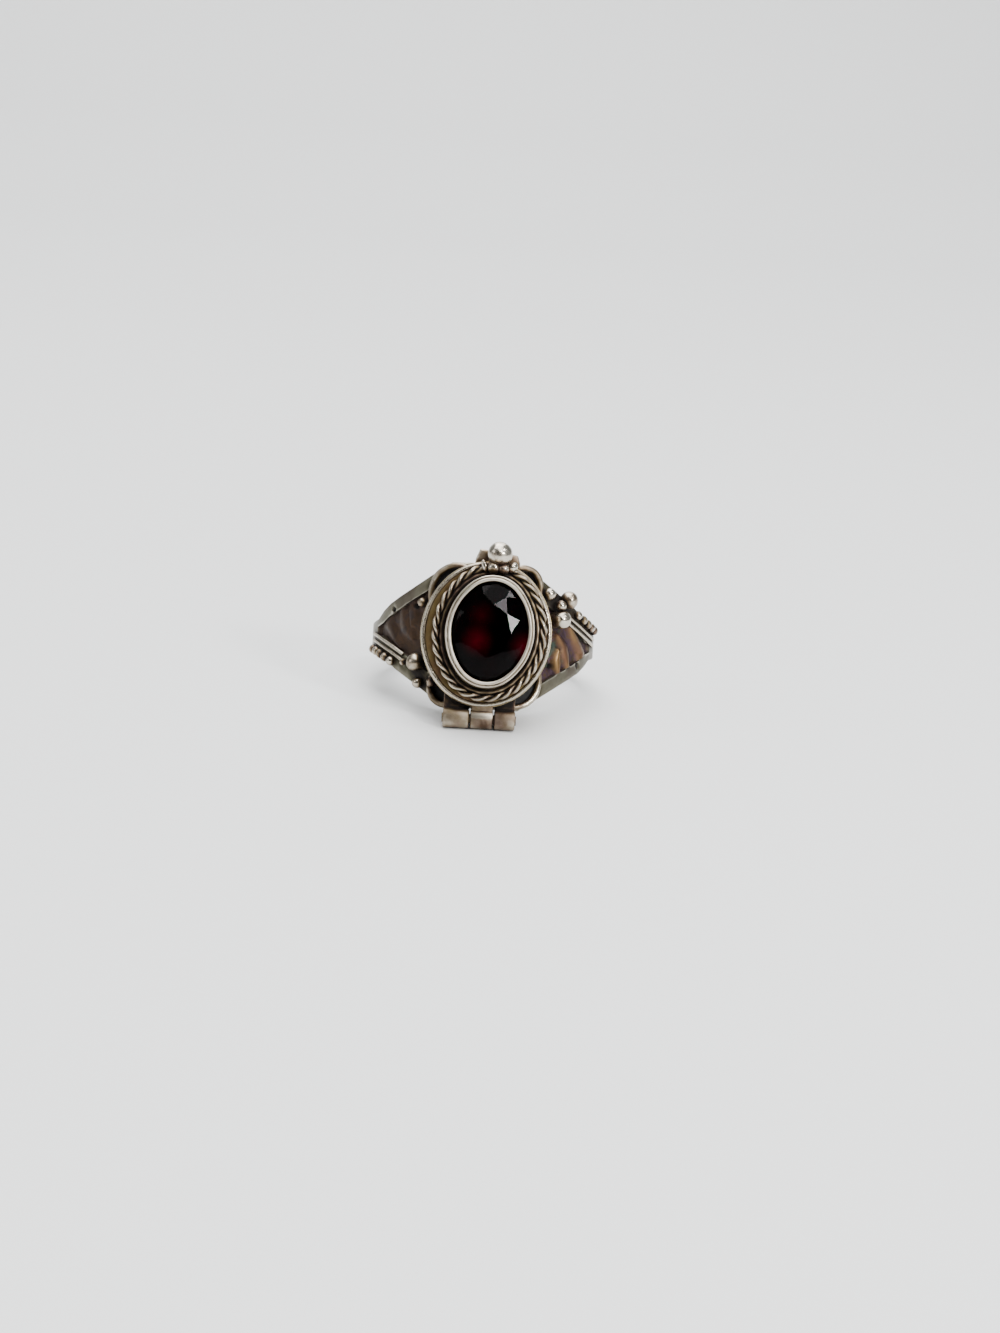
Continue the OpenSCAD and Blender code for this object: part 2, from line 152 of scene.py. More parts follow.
# A round wire through each list of points, made with a bevelled curve
def wire(paths, radius, rounding=5, cyclic=False):
    curve = bpy.data.curves.new("wire", "CURVE")
    curve.dimensions = "3D"
    curve.bevel_depth = radius
    curve.bevel_resolution = rounding
    curve.use_fill_caps = not cyclic
    for points in paths:
        spline = curve.splines.new("POLY")
        spline.points.add(len(points) - 1)
        spline.use_cyclic_u = cyclic
        for point, place in zip(spline.points, points):
            point.co = (*place, 1)
            point.radius = 1
    holder = bpy.data.objects.new("wire", curve)
    bpy.context.scene.collection.objects.link(holder)
    bpy.context.view_layer.update()
    mesh = bpy.data.meshes.new_from_object(holder.evaluated_get(bpy.context.evaluated_depsgraph_get()))
    bm = bmesh.new()
    bm.from_mesh(mesh)
    bpy.data.objects.remove(holder)
    bmesh.ops.remove_doubles(bm, verts=bm.verts, dist=weld)
    return bm


# Puts one mesh into another at a place
def addTo(bm, part, place=Matrix()):
    part.transform(place)
    mesh = bpy.data.meshes.new("part")
    part.to_mesh(mesh)
    part.free()
    bm.from_mesh(mesh)
    bpy.data.meshes.remove(mesh)
    return bm


# Slow dents of worn metal, in the piece's own millimetres
def dent(bm, depth, size, seed=0):
    bm.normal_update()
    for v in bm.verts:
        v.co += v.normal * depth * noise.noise(v.co / size + Vector((seed, 0, 0)))


# Makes an object of a mesh, at rest in the frame, with its body and material
def finishPiece(name, bm, body, material, place=toWorld, sharp=40):
    bm.transform(place)
    bmesh.ops.recalc_face_normals(bm, faces=bm.faces)
    for face in bm.faces:
        face.smooth = True
    for edge in bm.edges:
        edge.smooth = edge.calc_face_angle(0) < math.radians(sharp)
    mesh = bpy.data.meshes.new(name)
    bm.to_mesh(mesh)
    bm.free()
    mesh.materials.append(material)
    piece = bpy.data.objects.new(name, mesh)
    bpy.context.scene.collection.objects.link(piece)
    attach(piece, body)
    pieces.append(piece)
    return piece


# Materials. A value is an output socket, and sums of values make their own nodes
class Value:
    def __init__(self, tree, socket):
        self.tree, self.socket = tree, socket

    def maths(self, operation, first, second):
        node = self.tree.nodes.new("ShaderNodeMath")
        node.operation = operation
        for socket, value in zip(node.inputs, (first, second)):
            if isinstance(value, Value):
                self.tree.links.new(value.socket, socket)
            else:
                socket.default_value = value
        return Value(self.tree, node.outputs[0])

    def __add__(self, other):
        return self.maths("ADD", self, other)

    def __sub__(self, other):
        return self.maths("SUBTRACT", self, other)

    def __rsub__(self, other):
        return self.maths("SUBTRACT", other, self)

    def __mul__(self, other):
        return self.maths("MULTIPLY", self, other)

    __radd__, __rmul__ = __add__, __mul__

    def clamp(self):
        return self.maths("MINIMUM", self.maths("MAXIMUM", self, 0), 1)


class Finish:
    def __init__(self, name, holder=None):
        self.material = holder or bpy.data.materials.new(name)
        self.material.use_nodes = True
        self.tree = self.material.node_tree
        self.tree.nodes.clear()
        self.place = None

    # A node of a type, with its settings first and then its sockets' values or links
    def add(self, kind, settings=None, sockets=None, output=0):
        node = self.tree.nodes.new(kind)
        for key, value in (settings or {}).items():
            if key == "stops":
                ramp = node.color_ramp.elements
                while len(ramp) < len(value):
                    ramp.new(1)
                for stop, (position, colour) in zip(ramp, value):
                    stop.position, stop.color = position, (*colour, 1)
            else:
                setattr(node, key, value)
        for key, value in (sockets or {}).items():
            if isinstance(value, Value):
                self.tree.links.new(value.socket, node.inputs[key])
            else:
                node.inputs[key].default_value = value
        return Value(self.tree, node.outputs[output]) if node.outputs else None

    def noise(self, size, detail=3, seed=(0, 0, 0), stretch=(1, 1, 1), distortion=0):
        if self.place is None:
            self.place = self.add("ShaderNodeTexCoord", output="Object")
        place = self.add("ShaderNodeMapping", {},
                         {"Vector": self.place, "Location": seed, "Scale": stretch})
        return self.add("ShaderNodeTexNoise", {}, {
            "Vector": place, "Scale": 1000 / size, "Detail": detail, "Distortion": distortion})

    def attribute(self, name):
        return self.add("ShaderNodeAttribute", {"attribute_name": name}, output="Fac")

    def ramp(self, share, stops):
        return self.add("ShaderNodeValToRGB", {"stops": stops}, {"Fac": share})

    def mix(self, share, first, second):
        colours = {"Factor": share, 6: first, 7: second}
        return self.add("ShaderNodeMix", {"data_type": "RGBA"}, colours, output=2)

    def end(self, shader, kind="ShaderNodeOutputMaterial"):
        self.add(kind, {}, {"Surface": shader})
        return self.material


# Worn silver: bright where it rubs, brown and then black where it doesn't, in patches of olive and brown.
# Crevices and spots close under other parts are painted darker as well: painted shade, together with the
# patina that such hollows hold.
# An oxidised panel has stains of its own. Its right-hand petals get a painted copper-gold highlight, and its
# pits and the hollows inside the corner loops are painted near black as painted shade
def agedSilver(name, bright=(0.44, 0.39, 0.31), warm=(0.22, 0.175, 0.12), golden=(0.105, 0.073, 0.034),
               rosy=(0.20, 0.148, 0.11), umber=(0.070, 0.040, 0.027), dark=(0.010, 0.006, 0.004),
               base=0.1, crevice=1.2, blotch=0.8, rub=0.6, rough=0.28, oxide=False, seed=0):
    finish = Finish(name)
    recess, age = finish.attribute("recess"), finish.attribute("age")
    edge = finish.attribute("edge")
    broad = finish.noise(4.5, 3, (seed, 0, 0), distortion=0.6)
    drift = finish.noise(2.6, 2, (seed, seed, 1), distortion=0.8)
    spots = finish.noise(0.9, 4, (0, seed, 0), distortion=0.3)
    grain = finish.noise(0.16, 3, (0, 0, seed))
    scratches = finish.noise(0.5, 2, (seed, seed, 0), stretch=(0.12, 1.6, 1.6))
    # How dark the metal is: tarnish and wear, with painted shade added in crevices and under other parts,
    # and on the left shoulder's balls through the age layer
    tarnishAndShade = (recess * crevice + (broad - 0.5) * blotch + (spots - 0.5) * blotch * 0.9 + base
               + age - edge * rub).clamp()
    levels = (0, 0.3, 0.62, 1)
    olive = finish.ramp(tarnishAndShade, list(zip(levels, (bright, warm, golden, dark))))
    brown = finish.ramp(tarnishAndShade, list(zip(levels, (bright, rosy, umber, dark))))
    colour = finish.mix(((drift - 0.5) * 4 + 0.4).clamp(), olive, brown)
    if oxide:
        panel, copper, soot = (finish.attribute(layer) for layer in ("panel", "copper", "soot"))
        stain = finish.noise(1.3, 3, (seed, 2, seed), distortion=1.2)
        left = finish.ramp(stain, [(0.35, (0.027, 0.015, 0.010)), (0.5, (0.042, 0.022, 0.012)),
                                   (0.62, (0.026, 0.016, 0.014))])
        right = finish.ramp(stain, [(0.34, (0.024, 0.038, 0.029)), (0.44, (0.036, 0.020, 0.012)),
                                    (0.52, (0.042, 0.021, 0.036)), (0.62, (0.055, 0.030, 0.013)),
                                    (0.72, (0.018, 0.026, 0.021))])
        across = finish.add("ShaderNodeSeparateXYZ", {}, {0: finish.place})
        tint = finish.mix((across * 1000).clamp(), left, right)
        # Painted highlight: copper-gold on the raised tops of the right shoulder's petals
        petalHighlightColour = finish.ramp(drift, [(0.35, (0.125, 0.064, 0.036)), (0.6, (0.17, 0.102, 0.044))])
        colour = finish.mix((panel * 0.95).clamp(), colour, tint)
        petalHighlightShare = (copper * 1.1 + (spots - 0.5) * copper * 1.2 - recess * 0.5).clamp()
        colour = finish.mix(petalHighlightShare, colour, petalHighlightColour)
        # Painted shade: the pits and the hollows inside the corner loops are painted near black
        colour = finish.mix(soot, colour, (0.004, 0.0035, 0.003, 1))
        tarnishAndShade = (tarnishAndShade + panel * 0.25 + soot - copper * 0.3).clamp()
    roughness = (tarnishAndShade * 0.3 + (grain - 0.5) * 0.16 + (scratches - 0.5) * 0.12 + rough).clamp()
    height = grain * 0.5 + spots * 0.9 + scratches * 0.35
    bump = finish.add("ShaderNodeBump", {}, {"Strength": 0.4, "Distance": 0.00003, "Height": height})
    shader = finish.add("ShaderNodeBsdfPrincipled", {}, {
        "Base Color": colour, "Roughness": roughness, "Normal": bump,
        "Metallic": 1 - tarnishAndShade * tarnishAndShade * 0.45})
    return finish.end(shader)


# Painted glow: spots where the stone emits red light of its own, in place of light coming back from inside
# it. Columns: place in the setting, reach, strength
paintedStoneGlow = [((-1.0, -0.9, 3.3), 1.75, 0.26), ((-0.9, 1.2, 3.3), 1.6, 0.08),
             ((2.95, -0.9, 2.75), 1.7, 0.2)]


def garnetStone(name):
    finish = Finish(name)
    cloud = finish.noise(2.2, 2)
    dust = finish.noise(0.12, 2)
    colour = finish.ramp(cloud, [(0.3, (0.030, 0.0003, 0.003)), (0.7, (0.075, 0.0006, 0.005))])
    glow = 0
    for spot, radius, power in paintedStoneGlow:
        away = finish.add("ShaderNodeVectorMath", {"operation": "DISTANCE"},
                          {0: finish.place, 1: toSetting @ Vector(spot)}, output="Value")
        near = (1 - away * (1000 / radius)).clamp()
        glow = near * near * power + glow
    patches = ((cloud - 0.5) * 4 + 0.9).clamp()
    # Painted light: the stone emits this red at the glow spots, as if lit from inside
    red = finish.mix((glow * patches).clamp(), (0, 0, 0, 1), (0.30, 0.0005, 0.02, 1))
    bump = finish.add("ShaderNodeBump", {}, {"Strength": 0.05, "Distance": 0.00001, "Height": dust})
    shader = finish.add("ShaderNodeBsdfPrincipled", {}, {
        "Base Color": colour, "Roughness": dust * 0.04, "Normal": bump, "IOR": 1.13,
        "Transmission Weight": 1.0, "Emission Color": red, "Emission Strength": 1.0})
    return finish.end(shader)


bandSilver = agedSilver(
    "bandSilver", bright=(0.34, 0.32, 0.26), warm=(0.145, 0.135, 0.10), golden=(0.062, 0.055, 0.034),
    rosy=(0.13, 0.112, 0.086), umber=(0.050, 0.037, 0.027), base=0.36, blotch=0.36, rub=0.9,
    rough=0.3, oxide=True, seed=3)
boxSilver = agedSilver("boxSilver", base=0.25, seed=5)
plateSilver = agedSilver(
    "plateSilver", bright=(0.30, 0.235, 0.13), warm=(0.18, 0.125, 0.052), golden=(0.10, 0.066, 0.022),
    rosy=(0.17, 0.10, 0.05), umber=(0.085, 0.043, 0.023), base=0.38, crevice=0.4, rough=0.36, seed=8)
wireSilver = agedSilver("wireSilver", base=0.14, crevice=1.3, seed=2)
ropeSilver = agedSilver("ropeSilver", base=0.24, crevice=1.5, seed=12)
loopSilver = agedSilver("loopSilver", base=0.4, rub=0.9, seed=14)
bezelSilver = agedSilver(
    "bezelSilver", bright=(0.58, 0.52, 0.43), warm=(0.30, 0.235, 0.17), base=0.2, crevice=0.9,
    blotch=0.9, rub=0.75, rough=0.34, seed=6)
ballSilver = agedSilver(
    "ballSilver", bright=(0.54, 0.49, 0.41), warm=(0.30, 0.245, 0.175), base=0.08, blotch=1.0,
    rough=0.2, seed=4)
hingeSilver = agedSilver("hingeSilver", base=0.42, crevice=1.1, blotch=1.0, rough=0.4, seed=9)
garnetRed = garnetStone("garnetRed")
print("materials made")

# Band, with recessed panels, embossed petals, pits, and the hollows inside the corner loops. The outline and
# the taper hold half widths as shares. The box's numbers are two half axes and the band's height under it
band = {
    "steps": 560, "rows": 44, "round": 0.24, "blend": 0.4, "box": (5.1, 5.7, 9.33),
    "outline": [(0.322, 1), (0.844, 0.437), (0.9, 0.34), (0.95, 0.22), (1.06, 0.14)],
    "taper": [(-0.1, 0), (0.4, 0.17), (0.62, 0.38), (0.8, 0.72), (1.2, 1.6)],
    "panelDepth": 0.35, "panelFrom": (0.48, 0.5), "panelTo": (0.938, 0.95), "railInset": 1.56, "margin": 1.0,
    "fullMargin": 2.1, "swap": 3, "worn": 0.16, "wornFrom": (-2, 5),
}
petals = {
    "ridges": [[(0.655, -0.12), (0.648, -0.26), (0.66, -0.42)],
               [(0.64, 0.08), (0.705, -0.07), (0.748, -0.36)],
               [(0.752, 0.20), (0.873, -0.12), (0.868, -0.31)]],
    "width": 1.3, "height": 0.46, "tip": 0.35, "power": 1.6, "left": 0.5,
}
# Columns: shares across and up, radius
loops = {
    "table": [(-0.27, 0.57, 2.35), (0.27, -0.57, 2.35), (-0.31, -0.71, 1.6), (0.31, 0.71, 1.6)],
    "wire": 0.28, "lift": 0.06, "hollow": 0.4, "inset": 0.07, "count": 72,
}
pits = {
    "table": [(-0.81, 0.325, 0.28), (-0.625, 0.385, 0.36), (0.6, -0.345, 0.32), (0.835, -0.3, 0.3)],
    "depth": 0.3, "narrow": 1.4, "floor": 0.5,
}
edgeFrom, edgeTo = [(x * ring["band"], z * ring["halfHeight"]) for x, z in band["outline"][:2]]
edgeSlope = (edgeTo[1] - edgeFrom[1]) / (edgeTo[0] - edgeFrom[0])
edgeDrop = math.hypot(1, edgeSlope)


def edgeZ(x):
    return edgeFrom[1] + edgeSlope * (x - edgeFrom[0])


def halfWidth(x, y):
    front = between(band["outline"], abs(x) / ring["band"]) * ring["halfHeight"]
    widening = between(band["taper"], -y / ring["band"])
    side = ring["backHalf"] + widening * (ring["halfHeight"] - ring["backHalf"])
    share = min(1, max(0, 0.5 + 0.5 * (side - front) / band["blend"]))
    return side + (front - side) * share - band["blend"] * share * (1 - share)


# A place on the band at a width and height, with Z standing off its surface
def onBand(x, z, lift=0.0):
    return (Matrix.Translation((0, -ring["shift"], 0))
            @ Matrix.Rotation(math.asin(x / ring["band"]), 4, "Z")
            @ Matrix.Translation((0, -ring["band"] - lift, z)) @ Matrix.Rotation(math.pi / 2, 4, "X"))


# How much of a petal's height a place has. The left shoulder is the right one turned half round
def petalShare(x, z):
    spot, best = Vector((x, z)) * math.copysign(1, x), 0
    for ridge in ridges:
        whole, gone, nearest, along = sum((b - a).length for a, b in zip(ridge, ridge[1:])), 0, 9, 0
        for a, b in zip(ridge, ridge[1:]):
            share = min(1, max(0, (spot - a).dot(b - a) / (b - a).length_squared))
            away = (spot - a.lerp(b, share)).length
            if away < nearest:
                nearest, along = away, (gone + share * (b - a).length) / whole
            gone += (b - a).length
        swell = math.sin(math.pi * (0.1 + 0.8 * along))
        half = petals["width"] / 2 * (petals["tip"] + (1 - petals["tip"]) * swell)
        best = max(best, 1 - (nearest / half) ** 2)
    return best ** petals["power"]


ridges = [[Vector((x * ring["band"], z * ring["halfHeight"])) for x, z in ridge]
          for ridge in petals["ridges"]]

# The band's section as rows of (part, share or height, height off the surface)
corner = [(0.0, -0.24), (0.02, -0.15), (0.06, -0.08), (0.12, -0.03), (0.2, 0.0)]
boreEdge = [(1, 0.3), (0.985, 0.17), (0.95, 0.06), (0.9, 0.0)]
plain = (0.3, 0.5, 0.7, 0.85, 0.95, 0.999)
rows = [("upper", inset, rise) for inset, rise in corner]
rows += [("upper", -share, 0) for share in plain]
rows += [("panel", share / band["rows"], 0) for share in range(band["rows"] + 1)]
rows += [("lower", -share, 0) for share in reversed(plain)]
rows += [("lower", inset, rise) for inset, rise in reversed(corner)]
rows += [("lowerSide", share, 0) for share in (0.25, 0.5, 0.75)]
rows += [("bore", -share, rise) for share, rise in boreEdge]
rows += [("bore", share / 10, 0) for share in range(-8, 9, 2)]
rows += [("bore", share, rise) for share, rise in reversed(boreEdge)]
rows += [("upperSide", share, 0) for share in (0.75, 0.5, 0.25)]
loopPlaces = [(onBand(x * ring["band"], z * ring["halfHeight"]), radius) for x, z, radius in loops["table"]]
loopPlaces = [(place, place.inverted(), radius) for place, radius in loopPlaces]


# Whether a place lies under the locket box
def underBox(place):
    turned = headTurn.inverted() @ place
    return place.y < 0 and math.hypot(turned.x / band["box"][0], turned.z / band["box"][1]) < 1


# A place of the band's skin, and its shares of panel, painted petal highlight and painted shade in the pits
# and loop hollows
def bandPoint(row, turn):
    part, share, rise = row
    reach, shift, s, c = ring["band"], ring["shift"], math.sin(turn), math.cos(turn)
    if part == "bore":
        x, y = (ring["bore"] + rise) * s, -(ring["bore"] + rise) * c
        return Vector((x, y, share * halfWidth(x, y))), 0, 0, 0
    x, y = reach * s, -shift - reach * c
    half = halfWidth(x, y)
    if part in ("lowerSide", "upperSide"):
        sign = 1 if part == "upperSide" else -1
        outer = Vector(((reach - band["round"]) * s, -shift - (reach - band["round"]) * c, sign * half))
        xi, yi = (ring["bore"] + boreEdge[0][1]) * s, -(ring["bore"] + boreEdge[0][1]) * c
        return outer.lerp(Vector((xi, yi, sign * halfWidth(xi, yi))), share), 0, 0, 0
    swap = ease(-band["swap"], band["swap"], x)
    small = min(1, half / band["fullMargin"]) * edgeDrop
    top = half - small * (band["margin"] + (band["railInset"] - band["margin"]) * swap)
    low = -half + small * (band["railInset"] + (band["margin"] - band["railInset"]) * swap)
    soft = corner[-1][0]
    if part == "upper":
        z = half - share if share >= 0 else half - soft + (top - half + soft) * -share
    elif part == "lower":
        z = -half + share if share >= 0 else -half + soft + (low + half - soft) * -share
    else:
        z = top + (low - top) * share
    wide = abs(x) / reach
    panel, copper, soot = 0, 0, 0
    if part == "panel" and 0.001 < share < 0.999 and y < 0:
        panel = ease(*band["panelFrom"], wide) * (1 - ease(*band["panelTo"], wide))
    reach += rise - band["panelDepth"] * panel
    if panel > 0.5:
        petal = petalShare(x, z)
        reach += petals["height"] * petal * (1 if x > 0 else petals["left"])
        # painted highlight: only the right shoulder's petals are painted copper-gold, most on their tops
        copper = petal if x > 0 else 0
    if y < 0:
        for px, pz, radius in pits["table"]:
            away = math.hypot((px * ring["band"] - x) * pits["narrow"], pz * ring["halfHeight"] - z)
            deep = 1 - ease(radius * pits["floor"], radius, away)
            reach -= pits["depth"] * deep
            # painted shade, near black, on the pit's floor
            soot = max(soot, deep)
    point = Vector((reach * s, -shift - reach * c, z))
    for place, back, radius in loopPlaces:
        flat = back @ point
        if flat.xy.length < radius - loops["inset"]:
            flat.z = min(flat.z, -loops["hollow"])
            point = place @ flat
            # painted shade, near black, in the hollow inside the loop
            soot = 1
    return point, panel, copper, soot


# A row of verts is spun once, and each vert then goes to its own place
bm = bmesh.new()
rowOf = bm.verts.layers.int.new("row")
layers = [bm.verts.layers.float.new(name) for name in ("panel", "copper", "soot", "age")]
start = []
for i in range(len(rows)):
    v = bm.verts.new((0, -ring["bore"] - 0.01 * math.cos(i), i))
    v[rowOf] = i
    start.append(v)
line = [bm.edges.new(pair) for pair in zip(start, start[1:] + start[:1])]
bmesh.ops.spin(bm, geom=start + line, cent=(0, 0, 0), axis=(0, 0, 1), angle=2 * math.pi,
               steps=band["steps"], use_merge=True)
for v in bm.verts:
    place, *shares = bandPoint(rows[v[rowOf]], math.atan2(v.co.x, -v.co.y))
    shares.append(-band["worn"] * ease(*band["wornFrom"], place.y))
    for layer, share in zip(layers, shares):
        v[layer] = share
    if underBox(place):
        place.y = max(place.y, -band["box"][2])
    v.co = place
dent(bm, 0.022, 2.6, 1)
bandPiece = finishPiece("band", bm, "ring", bandSilver)
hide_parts("ring_body")
print("band made")

# Locket box
box = {
    "a": 5.4, "b": 6.05, "wall": 0.7, "floor": 9.75, "skirt": 8.0, "root": 9.3, "endLift": 0.3,
    "round": 0.15, "core": 4.5, "step": 0.9, "middle": 12,
    "fillet": [(0, 0.35), (0.04, 0.15), (0.15, 0.04), (0.35, 0)],
}
wall, rim, soft = box["wall"], ring["rim"], box["round"]
rounded = [(0, soft), (0.2 * soft, 0.4 * soft), (0.7 * soft, 0.07 * soft), (0.2, 0)]
profile = [(-box["core"] + box["step"] * i, box["skirt"]) for i in range(6)]
profile += [(0, box["skirt"] + box["step"] * i) for i in range(1, 6)]
profile += [(-out, rim - drop) for out, drop in rounded]
profile += [(out - wall, rim - drop) for out, drop in reversed(rounded)]
profile += [(-wall, box["middle"])]
profile += [(-wall - out, box["floor"] + rise) for out, rise in box["fillet"]]
profile += [(-2.6, box["floor"]), (-box["core"], box["floor"])]
bm = sweepOval(box["a"], box["b"], profile, closed=False, steps=36)

# Its foot follows the band's curve, and stays inside the metal
for v in bm.verts:
    root = math.sqrt(box["root"] ** 2 - v.co.x ** 2) + box["endLift"] * (v.co.y / box["b"]) ** 4
    v.co.z = root if v.co.z < box["skirt"] + 0.01 else max(v.co.z, root)
bmesh.ops.remove_doubles(bm, verts=bm.verts, dist=weld)
dent(bm, 0.02, 2.2, 2)
finishPiece("locketBox", bm, "ring", boxSilver, toHead)


# A block between limits along each axis, with softened edges
def block(x, y, z, bevel):
    bm = bmesh.new()
    bmesh.ops.create_cube(bm, size=1)
    bmesh.ops.scale(bm, vec=[to - at for at, to in (x, y, z)], verts=bm.verts)
    bmesh.ops.translate(bm, vec=[(at + to) / 2 for at, to in (x, y, z)], verts=bm.verts)
    bmesh.ops.subdivide_edges(bm, edges=bm.edges, cuts=4, use_grid_fill=True)
    sharp = [e for e in bm.edges if e.calc_face_angle(0) > 0.5]
    bmesh.ops.bevel(bm, geom=sharp, offset=bevel, segments=3, profile=0.5, affect="EDGES", material=-1)
    return bm


# Catch, the flat tab behind the clasp ball
catch = {
    "x": (-1.75, 2.05), "y": (5.16, 7.2), "z": (12.52, 13.33), "bevel": 0.18, "centre": 0.22,
    "taper": 0.12, "slant": 0.05, "end": (6.2, 7.2),
}
bm = block(catch["x"], catch["y"], catch["z"], catch["bevel"])
for v in bm.verts:
    v.co.x -= catch["taper"] * (v.co.x - catch["centre"]) * ease(*catch["end"], v.co.y)
    v.co.y -= catch["slant"] * (v.co.x - catch["x"][0]) * ease(*catch["end"], v.co.y)
dent(bm, 0.09, 1.3, 5)
finishPiece("catch", bm, "ring", bezelSilver, toHead)

# Hinge. A knuckle is a bored length of squarish tube with softened ends
hinge = {
    "half": 0.822, "power": 3.0, "bore": 0.43, "round": 0.1, "chamfer": 0.03, "steps": 56,
    "left": (-3.27, -1.07), "middle": (-0.95, 0.95), "right": (1.07, 2.82),
    "strapInset": 0.03, "strapFrom": 0.1, "strapBevel": 0.1, "outerStrap": (0.15, 1.4), "outerEnd": -4.7,
    "middleStrap": (0.14, 0.05), "middleEnd": -5.6,
}


def knuckle(ends, seed):
    x0, x1 = ends
    outer, bore, soft, chamfer = hinge["half"], hinge["bore"], hinge["round"], hinge["chamfer"]
    end = [(0, bore + chamfer), (0, outer - soft), (soft * 0.3, outer - soft * 0.3), (soft, outer)]
    line = [(x0 + inset, height) for inset, height in end]
    line += [((x0 + x1) / 2, outer)]
    line += [(x1 - inset, height) for inset, height in reversed(end)]
    line += [(x1 - chamfer, bore), (x0 + chamfer, bore)]
    bm = turnLine(line, "X", True, hinge["steps"])
    for v in bm.verts:
        size = math.hypot(v.co.y, v.co.z)
        if size > bore + 0.1:
            power = hinge["power"]
            square = (abs(v.co.y / size) ** power + abs(v.co.z / size) ** power) ** (-1 / power)
            v.co.y, v.co.z = v.co.y * square, v.co.z * square
    dent(bm, 0.03, 0.9, seed)
    bmesh.ops.translate(bm, vec=(0, -ring["rim"], ring["hingeZ"]), verts=bm.verts)
    return bm


# A strap from a knuckle towards the head
def strap(ends, y, z):
    x0, x1 = ends
    inset = hinge["strapInset"]
    return block((x0 + inset, x1 - inset), y, (ring["hingeZ"] + hinge["strapFrom"], z), hinge["strapBevel"])


# Ends a part of the hinge in the middle of the box's wall
def endInWall(bm):
    a, b = box["a"] - wall / 2, box["b"] - wall / 2
    for v in bm.verts:
        spot = headTurn.inverted() @ v.co
        if math.hypot(spot.x / a, spot.z / b) < 1:
            spot.z = -b * math.sqrt(1 - (spot.x / a) ** 2)
            v.co = headTurn @ spot
    bmesh.ops.remove_doubles(bm, verts=bm.verts, dist=weld)
    return bm


for side, seed in (("left", 7), ("right", 11)):
    bm = knuckle(hinge[side], seed)
    near, far = hinge["outerStrap"]
    addTo(bm, endInWall(strap(hinge[side], (near - rim, far - rim), hinge["outerEnd"])))
    finishPiece(side + "Knuckle", bm, "ring", hingeSilver)
print("box and knuckles made")

# Balls and granules with a little solder at the foot. Columns: shares across and up, size, lift in sizes
shoulderBalls = [
    (-0.565, -0.4, 1.6, 0.3), (-0.69, -0.4, 0.6, 0.3), (-0.55, -0.68, 0.95, 0.3), (-0.43, -0.66, 0.9, 0.4),
    (-0.56, 0.43, 0.85, 0), (0.52, 0.635, 1.1, 0.4), (0.69, 0.58, 1.55, 0.3), (0.61, 0.49, 0.95, 0.7),
    (0.625, 0.3, 1.65, 0.35),
]


# A ball whose centre stands at a lift over the surface, cut off at its foot or whole
def ball(radius, lift, foot=True, steps=32, count=14):
    low = max(lift - 0.4 * radius, 0.05 * radius)
    last = math.acos((low - lift) / radius) if foot else math.pi
    turns = [last * i / count for i in range(count + 1)]
    line = [(radius * math.sin(turn), lift + radius * math.cos(turn)) for turn in turns]
    if foot:
        root, sink = line[-1][0], -0.3 * radius - 0.1
        line += [(root * 0.93, low * 0.6), (root * 0.95, low * 0.2), (root, sink * 0.2)]
        line += [(root, sink), (0, sink)]
    return turnLine(line, steps=steps)


# Gives every spot of a part the same value of the age layer, from bright to dark. It holds tarnish and wear,
# and for the left shoulder's balls painted shade as well
def setAgeAndShade(part, age):
    layer = part.verts.layers.float.get("age") or part.verts.layers.float.new("age")
    for v in part.verts:
        v[layer] = age


bm = bmesh.new()
for number, (x, z, size, lift) in enumerate(shoulderBalls):
    inside = abs(z) * ring["halfHeight"] < edgeZ(abs(x) * ring["band"]) - size / 2
    part = ball(size / 2, lift * size, lift < 0.6 and inside, 40)
    dent(part, 0.03 * size, 0.5 * size, number)
    # painted shade: the left shoulder's balls are painted darker than the right ones
    setAgeAndShade(part, 0.3 if x < 0 else 0)
    addTo(bm, part, onBand(x * ring["band"], z * ring["halfHeight"]))
finishPiece("shoulderBalls", bm, "ring", ballSilver)

granules = {"radius": 0.41, "from": 0.8, "to": 0.96, "count": 5, "inset": 0.5, "lift": 0.18}
bm = bmesh.new()
first, last = math.asin(granules["from"]), math.asin(granules["to"])
for turned in (Matrix(), halfTurn):
    for i in range(granules["count"]):
        x = ring["band"] * math.sin(first + (last - first) * i / (granules["count"] - 1))
        part = ball(granules["radius"], granules["lift"], steps=24)
        dent(part, 0.02, 0.4, i)
        setAgeAndShade(part, 0.18 * (i % 3))
        addTo(bm, part, turned @ onBand(x, edgeZ(x) - granules["inset"] * edgeDrop))
finishPiece("granuleRows", bm, "ring", ballSilver)

rails = {"from": 0.7, "to": 0.97, "insets": (1.1, 1.56), "wire": 0.15, "lift": 0.05, "count": 40}
paths = []
for turned in (Matrix(), halfTurn):
    for inset in rails["insets"]:
        path = []
        for i in range(rails["count"]):
            x = (rails["from"] + (rails["to"] - rails["from"]) * i / (rails["count"] - 1)) * ring["band"]
            path.append(turned @ onBand(x, edgeZ(x) - inset * edgeDrop, rails["lift"]).translation)
        paths.append(path)
bm = wire(paths, rails["wire"])
dent(bm, 0.02, 0.9, 8)
finishPiece("rails", bm, "ring", wireSilver)

